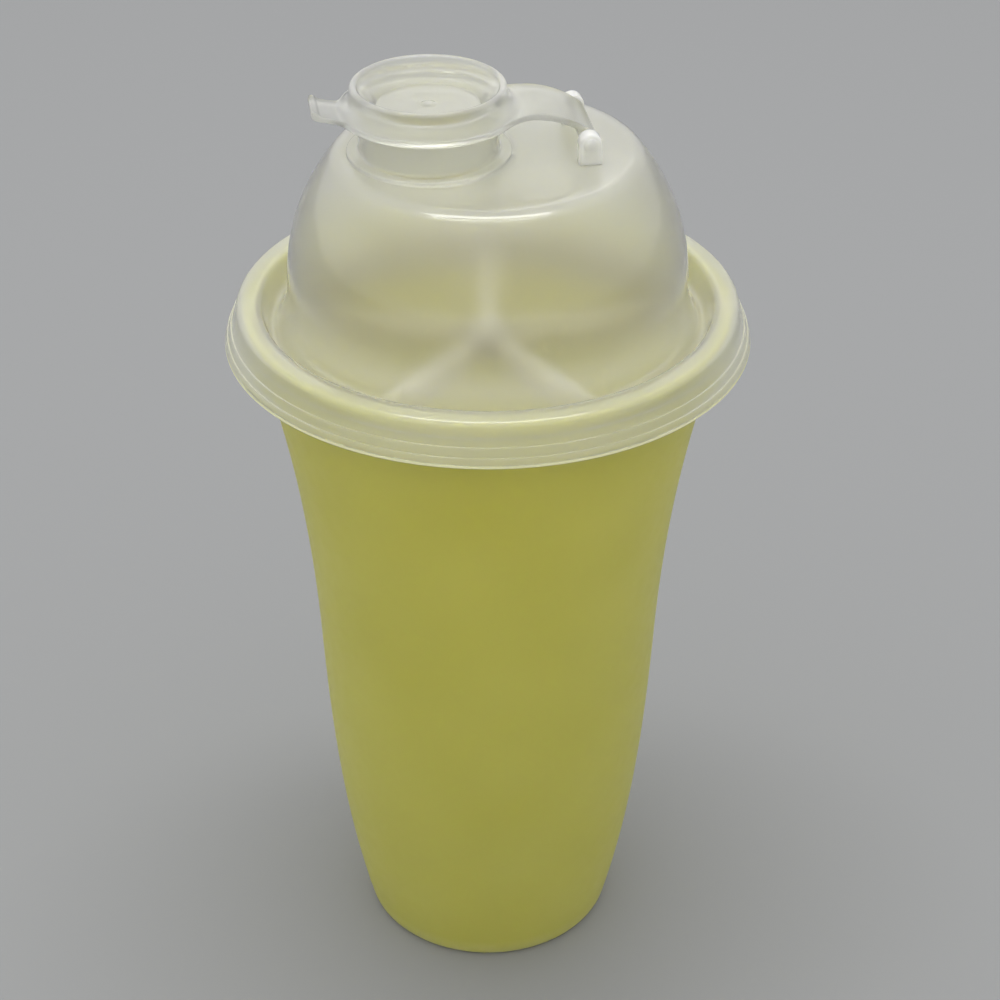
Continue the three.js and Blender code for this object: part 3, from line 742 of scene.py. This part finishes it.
def wheel_sheets():
    """Collar with stop flange, crowned hub, and vanes whose undersides are quadratic Bezier curves."""
    trough_under = shifted(joined(lid_skin(), [(rim_inside, rim_high), (rim_outside, rim_low)]), LID_WALL)
    stop_top = trough_under[trough_under[:, 0] < rim_inside, 1].min() - FIT
    stop_low = stop_top - STOP_FLANGE_THICKNESS
    high, low = stop_top + COLLAR_RISE, stop_top - COLLAR_DROP
    flare_under = flare_radius + LID_WALL
    mouth = dome_radius + flare_radius - math.sqrt(flare_under ** 2 - (dome_foot - high) ** 2)
    outside = mouth - FIT
    inside = outside - COLLAR_WALL
    flange = outside + STOP_FLANGE_WIDTH
    collar = eased([
        (inside, stop_top), (inside, low), (outside, low), (outside, stop_low), (flange, stop_low),
        (flange, stop_top), (outside, stop_top), (outside, high), (inside, high), (inside, stop_top),
    ], [COLLAR_EDGE, COLLAR_EDGE, STOP_FLANGE_FILLET, STOP_FLANGE_EDGE,
        STOP_FLANGE_EDGE, STOP_FLANGE_FILLET, COLLAR_EDGE, COLLAR_EDGE])
    collar = spaced(collar, COLLAR_STEP)[:-1]

    vane_top = stop_top - VANE_TOP_DROP
    hub_low = vane_top - HUB_DEPTH
    hub_top = vane_top + HUB_CROWN
    hub = eased([
        (HUB_FAN, hub_low), (HUB_RADIUS, hub_low), (HUB_RADIUS, vane_top),
        (HUB_RADIUS - HUB_CROWN, hub_top), (HUB_FAN, hub_top),
    ], [HUB_EDGE, HUB_EDGE, HUB_CROWN])

    t = np.linspace(0, 1, VANE_ROWS)[:, None]
    first = np.array([HUB_RADIUS / 2, hub_low + HUB_CROWN])
    last = np.array([inside + COLLAR_WALL / 2, low + COLLAR_WALL])
    deepest = np.array([VANE_DEEP_RADIUS, vane_top - VANE_DEPTH])
    belly = first * (1 - t) ** 2 + deepest * 2 * t * (1 - t) + last * t ** 2
    quarter = np.linspace(0, 90, CORNER_POINTS)
    corner = np.radians(np.array([0, 90, 180, 270])[:, None] + quarter).ravel()
    upper = np.repeat([1, 1, 0, 0], CORNER_POINTS)
    right = np.repeat([1, -1, -1, 1], CORNER_POINTS)
    across = right * (VANE_THICKNESS / 2 - VANE_EDGE) + VANE_EDGE * np.cos(corner)
    lift = VANE_EDGE * np.sin(corner) + VANE_EDGE * np.where(upper, -1, 1)
    out = belly[:, :1] + 0 * across
    height = np.where(upper, vane_top, belly[:, 1:]) + lift
    sheets = [(turned(collar, all_round(CUP_COLUMNS)), True),
              (turned(spaced(hub, SMALL_STEP), all_round(HUB_COLUMNS)), False)]
    for a in np.radians(VANE_TURN + 360 / VANE_COUNT * np.arange(VANE_COUNT)):
        x = out * np.cos(a) - across * np.sin(a)
        y = out * np.sin(a) + across * np.cos(a)
        sheets.append((np.stack([x, y, height], -1), False))
    return sheets


# Materials

def linear(hex_colour):
    """An sRGB hex colour as linear RGBA."""
    c = np.array([int(hex_colour[i:i + 2], 16) for i in (1, 3, 5)]) / 255
    return (*np.where(c <= 0.04045, c / 12.92, ((c + 0.055) / 1.055) ** 2.4), 1)


def add(tree, kind, inputs=None, **settings):
    """A node of the given kind with its settings; an input is a value or another node's output socket."""
    node = tree.nodes.new(kind)
    for key, value in settings.items():
        setattr(node, key, value)
    for key, value in (inputs or {}).items():
        if isinstance(value, bpy.types.NodeSocket):
            tree.links.new(value, node.inputs[key])
        else:
            node.inputs[key].default_value = value
    return node


def material(name):
    """An empty node material and its tree."""
    made = bpy.data.materials.new(name)
    made.use_nodes = True
    made.node_tree.nodes.clear()
    return made, made.node_tree


def yellow_polyethylene():
    """Pastel yellow polyethylene from a satin tool: even and soft, glowing a little where light comes
    through the wall, with a fine grain, slow clouds in the colour and a scuffed, paler heel."""
    made, tree = material("yellow_polyethylene")
    place = add(tree, "ShaderNodeTexCoord").outputs["Object"]
    within = add(tree, "ShaderNodeNewGeometry").outputs["Backfacing"]
    through = add(tree, "ShaderNodeMapRange", {"Value": within, "To Min": YELLOW_CLEAR, "To Max": 1.0})
    clouds = add(tree, "ShaderNodeTexNoise", {
        "Vector": place, "Scale": 1 / (CLOUD_SIZE * MM), "Detail": 0.0,
    })
    grain = add(tree, "ShaderNodeTexNoise", {
        "Vector": place, "Scale": 1 / (GRAIN_SIZE * MM), "Detail": 0.0,
    })
    scuffs = add(tree, "ShaderNodeTexNoise", {
        "Vector": place, "Scale": 1 / (SCUFF_SIZE * MM), "Detail": 1.0,
    })
    colour = add(tree, "ShaderNodeMix", {
        "Factor": clouds.outputs[0], "A": linear("#C9C55B"), "B": linear("#D3CF67"),
    }, data_type="RGBA")
    height = add(tree, "ShaderNodeSeparateXYZ", {"Vector": place}).outputs["Z"]
    heel = add(tree, "ShaderNodeMapRange", {
        "Value": height, "From Min": 0.0, "From Max": HEEL_WEAR * MM,
        "To Min": HEEL_PALENESS, "To Max": 0.0,
    })
    worn = add(tree, "ShaderNodeMath", {0: heel.outputs[0], 1: scuffs.outputs[0]}, operation="MULTIPLY")
    aged = add(tree, "ShaderNodeMix", {
        "Factor": worn.outputs[0], "A": colour.outputs["Result"], "B": linear("#E6E2A0"),
    }, data_type="RGBA")
    satin = add(tree, "ShaderNodeMapRange", {
        "Value": scuffs.outputs[0], "To Min": SATIN_LEAST, "To Max": SATIN_MOST,
    })
    relief = add(tree, "ShaderNodeBump", {
        "Height": grain.outputs[0], "Strength": 1.0, "Distance": GRAIN_DEPTH * MM,
    })
    shader = add(tree, "ShaderNodeBsdfPrincipled", {
        "Base Color": aged.outputs["Result"], "Roughness": satin.outputs[0], "IOR": 1.51,
        "Transmission Weight": through.outputs[0], "Normal": relief.outputs[0],
        "Subsurface Weight": 1.0, "Subsurface Radius": (1.0, 0.9, 0.35),
        "Subsurface Scale": YELLOW_SCATTER * MM,
    })
    add(tree, "ShaderNodeOutputMaterial", {"Surface": shader.outputs[0]})
    return made


def milky_polyethylene(name, colour, rough, scatter, clearness, tint=None):
    """Natural polyethylene from a polished tool: a hazy wall that passes light and blurs what lies behind,
    under a glossy skin that is a little wavy from cooling.

    clearness gives the share of light that passes the wall at a place, and tint the colour there. A thin
    wall bends light less than a block of the plastic would, so its IOR is low and the coat carries the
    gloss."""
    made, tree = material(name)
    place = add(tree, "ShaderNodeTexCoord").outputs["Object"]
    within = add(tree, "ShaderNodeNewGeometry").outputs["Backfacing"]
    clouds = add(tree, "ShaderNodeTexNoise", {
        "Vector": place, "Scale": 1 / (CLOUD_SIZE * MM), "Detail": 1.0,
    })
    waves = add(tree, "ShaderNodeTexNoise", {
        "Vector": place, "Scale": 1 / (WAVE_SIZE * MM), "Detail": 0.0,
    })
    uneven = add(tree, "ShaderNodeMapRange", {
        "Value": clouds.outputs[0], "To Min": 1 - CLOUD_SPREAD, "To Max": 1 + CLOUD_SPREAD,
    })
    clear = add(tree, "ShaderNodeMath", {
        0: uneven.outputs[0], 1: clearness(tree, place),
    }, operation="MULTIPLY")
    through = add(tree, "ShaderNodeMath", {0: clear.outputs[0], 1: within}, operation="MAXIMUM")
    haze = add(tree, "ShaderNodeMapRange", {
        "Value": clouds.outputs[0], "To Min": rough - HAZE_SPREAD, "To Max": rough + HAZE_SPREAD,
    })
    relief = add(tree, "ShaderNodeBump", {
        "Height": waves.outputs[0], "Strength": 1.0, "Distance": WAVE_DEPTH * MM,
    })
    # tint may paint light into the colour, as the lid's does
    shader = add(tree, "ShaderNodeBsdfPrincipled", {
        "Base Color": tint(tree, place, colour) if tint else linear(colour),
        "Roughness": haze.outputs[0], "IOR": 1.2,
        "Transmission Weight": through.outputs[0], "Normal": relief.outputs[0],
        "Subsurface Weight": 1.0, "Subsurface Radius": (1.0, 1.0, 0.8), "Subsurface Scale": scatter * MM,
        "Coat Weight": 1.0, "Coat Roughness": 0.06, "Coat IOR": 1.5, "Coat Normal": relief.outputs[0],
    })
    add(tree, "ShaderNodeOutputMaterial", {"Surface": shader.outputs[0]})
    return made


def lid_colour_and_painted_light(tree, place, colour):
    """The plastic's colour with painted light on it: warmer from the trough outwards, where it lies on the
    yellow tumbler, as painted yellow light from the tumbler, and yellow at the skirt's lower edge, a
    painted glow where light led down the wall comes out."""
    plan = add(tree, "ShaderNodeVectorMath", {0: place, 1: (1, 1, 0)}, operation="MULTIPLY").outputs[0]
    out = add(tree, "ShaderNodeVectorMath", {0: plan}, operation="LENGTH").outputs["Value"]
    outer = add(tree, "ShaderNodeMapRange", {
        "Value": out, "From Min": dome_radius * MM, "From Max": (dome_radius + FLARE_SPREAD) * MM,
    })
    # Painted light: the yellow that the tumbler gives back, mixed in from the trough outwards
    painted_tumbler_light = add(tree, "ShaderNodeMix", {
        "Factor": outer.outputs[0], "A": linear(colour), "B": linear("#FBFBE0"),
    }, data_type="RGBA")
    height = add(tree, "ShaderNodeSeparateXYZ", {"Vector": place}).outputs["Z"]
    # Painted glow: the skirt's lower edge turns bright yellow as if lit by light led down the wall
    edge = add(tree, "ShaderNodeMapRange", {
        "Value": height, "From Min": painted_glow_top * MM, "From Max": (painted_glow_top - PAINTED_GLOW_FADE) * MM,
    })
    return add(tree, "ShaderNodeMix", {
        "Factor": edge.outputs[0], "A": painted_tumbler_light.outputs["Result"], "B": linear("#FFFBB4"),
    }, data_type="RGBA").outputs["Result"]


def lid_clearness(tree, place):
    """Milky in the trough and at the rim, where folded walls lie close together, clearest round the dome,
    less clear on the flat top, and least in the solid ears and at the skirt's lower edge, where the painted
    glow shows."""
    axes = add(tree, "ShaderNodeSeparateXYZ", {"Vector": place}).outputs
    plan = add(tree, "ShaderNodeVectorMath", {0: place, 1: (1, 1, 0)}, operation="MULTIPLY").outputs[0]
    out = add(tree, "ShaderNodeVectorMath", {0: plan}, operation="LENGTH").outputs["Value"]
    rim = add(tree, "ShaderNodeMapRange", {
        "Value": out, "From Min": (rim_inside + RIM_RUN[0]) * MM,
        "From Max": (rim_inside + RIM_RUN[1]) * MM, "To Min": TROUGH_CLEAR, "To Max": RIM_CLEAR,
    })
    dome = add(tree, "ShaderNodeMapRange", {
        "Value": axes["Z"], "From Min": (TUMBLER_HEIGHT + rim_low) * MM,
        "From Max": (TUMBLER_HEIGHT + dome_foot + DOME_RUN) * MM,
        "To Min": rim.outputs[0], "To Max": DOME_CLEAR,
    })
    top_height = TUMBLER_HEIGHT + lid_top
    top = add(tree, "ShaderNodeMapRange", {
        "Value": axes["Z"], "From Min": (top_height - TOP_RUN) * MM, "From Max": top_height * MM,
        "To Min": 1.0, "To Max": TOP_PART,
    })
    above = add(tree, "ShaderNodeMapRange", {
        "Value": axes["Z"], "From Min": top_height * MM, "From Max": (top_height + EAR_EDGE) * MM,
    })
    ear_start = HINGE_X - EAR_RADIUS
    ears = add(tree, "ShaderNodeMapRange", {
        "Value": axes["X"], "From Min": (ear_start - EAR_RUN) * MM, "From Max": ear_start * MM,
        "To Min": 0.0, "To Max": EAR_LOSS,
    })
    solid = add(tree, "ShaderNodeMath", {0: above.outputs[0], 1: ears.outputs[0]}, operation="MULTIPLY")
    wall = add(tree, "ShaderNodeMath", {0: dome.outputs[0], 1: top.outputs[0]}, operation="MULTIPLY")
    # The hem passes less light so that its painted glow shows
    hem = add(tree, "ShaderNodeMapRange", {
        "Value": axes["Z"], "From Min": painted_glow_top * MM, "From Max": (painted_glow_top - PAINTED_GLOW_FADE) * MM,
        "To Min": 0.0, "To Max": HEM_LOSS,
    })
    milky = add(tree, "ShaderNodeMath", {0: solid.outputs[0], 1: hem.outputs[0]}, operation="ADD")
    left = add(tree, "ShaderNodeMath", {0: wall.outputs[0], 1: milky.outputs[0]}, operation="SUBTRACT")
    return left.outputs[0]


def cap_clearness(tree, place):
    """Milky over the spout, where wall, neck and plug lie behind each other, and clear in the thin tab and
    strap."""
    plan = add(tree, "ShaderNodeVectorMath", {0: place, 1: (1, 1, 0)}, operation="MULTIPLY").outputs[0]
    out = add(tree, "ShaderNodeVectorMath", {0: plan, 1: (SPOUT_X * MM, 0, 0)}, operation="DISTANCE")
    return add(tree, "ShaderNodeMapRange", {
        "Value": out.outputs["Value"], "From Min": cap_foot * MM,
        "From Max": (flange_radius + STRAP_RUN) * MM, "To Min": SPOUT_CLEAR, "To Max": STRAP_CLEAR,
    }).outputs[0]


def wheel_clearness(tree, place):
    """The wheel's thick vanes pass the same small share everywhere."""
    return WHEEL_CLEAR


# Stage, light and camera

def floor():
    """A wide level sheet of pale grey card."""
    made, tree = material("pale_grey_card")
    shader = add(tree, "ShaderNodeBsdfPrincipled", {"Base Color": linear("#909192"), "Roughness": 0.9})
    add(tree, "ShaderNodeOutputMaterial", {"Surface": shader.outputs[0]})
    mesh = bpy.data.meshes.new("floor")
    corners = [(x * FLOOR_HALF, y * FLOOR_HALF, 0) for x, y in ((-1, -1), (1, -1), (1, 1), (-1, 1))]
    mesh.from_pydata(corners, [], [(0, 1, 2, 3)])
    mesh.materials.append(made)
    piece = bpy.data.objects.new("floor", mesh)
    scene.collection.objects.link(piece)


def lamp(name, place, aim, size, power):
    """A soft box of the given sides in metres, at a place, turned to an aim; its first side is level."""
    data = bpy.data.lights.new(name, "AREA")
    data.shape = "RECTANGLE"
    data.size, data.size_y = size
    data.energy = power
    box = bpy.data.objects.new(name, data)
    back = unit(np.array(place, float) - np.array(aim, float))
    upright = abs(back[2]) > UPRIGHT
    across = unit(np.cross((0, 1, 0) if upright else (0, 0, 1), back))
    turn = Matrix(np.column_stack([across, np.cross(back, across), back])).to_4x4()
    box.matrix_world = Matrix.Translation(place) @ turn
    scene.collection.objects.link(box)


def studio():
    """A white surround, brightest from above the camera's left, a long soft box overhead and a weak one
    behind."""
    world = bpy.data.worlds.new("surround")
    world.use_nodes = True
    tree = world.node_tree
    tree.nodes.clear()
    way = add(tree, "ShaderNodeTexCoord").outputs["Generated"]
    front = add(tree, "ShaderNodeVectorMath", {0: way, 1: BRIGHT_SIDE}, operation="DOT_PRODUCT")
    strength = add(tree, "ShaderNodeMapRange", {
        "Value": front.outputs["Value"], "From Min": -1.0, "From Max": 1.0,
        "To Min": SURROUND_LEAST, "To Max": SURROUND_MOST,
    })
    surround = add(tree, "ShaderNodeBackground", {
        "Color": linear("#FFFFFF"), "Strength": strength.outputs[0],
    })
    add(tree, "ShaderNodeOutputWorld", {"Surface": surround.outputs[0]})
    scene.world = world
    lamp("overhead", place=(0, 0.05, 1.1), aim=(0, 0.05, 0.1), size=(0.75, 0.22), power=4.2)
    lamp("behind", place=(0.1, 1.0, 0.85), aim=(0, 0, 0.17), size=(0.8, 0.35), power=0.55)


def camera():
    """The photograph's camera at its height and distance, tilted down and aimed just right of the cup."""
    away = math.radians(PART_TURN)
    heading = math.radians(PART_TURN + AIM_ASIDE)
    tilt, roll = math.radians(TILT), math.radians(ROLL)
    forward = np.array([math.sin(heading), math.cos(heading), 0])
    ahead = forward * math.cos(tilt) - np.array([0, 0, math.sin(tilt)])
    level = np.array([math.cos(heading), -math.sin(heading), 0])
    rise = np.cross(level, ahead)
    right = level * math.cos(roll) + rise * math.sin(roll)
    up = rise * math.cos(roll) - level * math.sin(roll)
    place = np.array([-CAMERA_AWAY * math.sin(away), -CAMERA_AWAY * math.cos(away), CAMERA_HEIGHT]) * MM
    data = bpy.data.cameras.new("photo_camera")
    data.sensor_width = SENSOR
    data.lens = LENS
    eye = bpy.data.objects.new("photo_camera", data)
    eye.matrix_world = Matrix.Translation(place) @ Matrix(np.column_stack([right, up, -ahead])).to_4x4()
    scene.collection.objects.link(eye)
    scene.camera = eye


camera()
studio()
floor()

moulding("tumbler_moulding", "tumbler", "tumbler",
         [(tumbler_sheet(), False)], yellow_polyethylene())
moulding("lid_moulding", "dome_lid", "lid",
         raised([(lid_sheet(), True), (ear_sheet(1), False), (ear_sheet(-1), False)]),
         milky_polyethylene("milky_polyethylene_lid", "#FCFCEE", MILKY_HAZE, MILKY_SCATTER,
                            lid_clearness, lid_colour_and_painted_light))
moulding("wheel_moulding", "mixing_wheel", "wheel",
         raised(wheel_sheets()),
         milky_polyethylene("milky_polyethylene_wheel", "#F0E6D2", WHEEL_HAZE, WHEEL_SCATTER,
                            wheel_clearness))
moulding("cap_moulding", "flip_cap", "cap",
         raised([(cap_sheet(), False), (pin_sheet(1), False), (pin_sheet(-1), False)]),
         milky_polyethylene("milky_polyethylene_cap", "#F6F6EC", MILKY_HAZE, MILKY_SCATTER,
                            cap_clearness))

scene.view_settings.view_transform = "Standard"
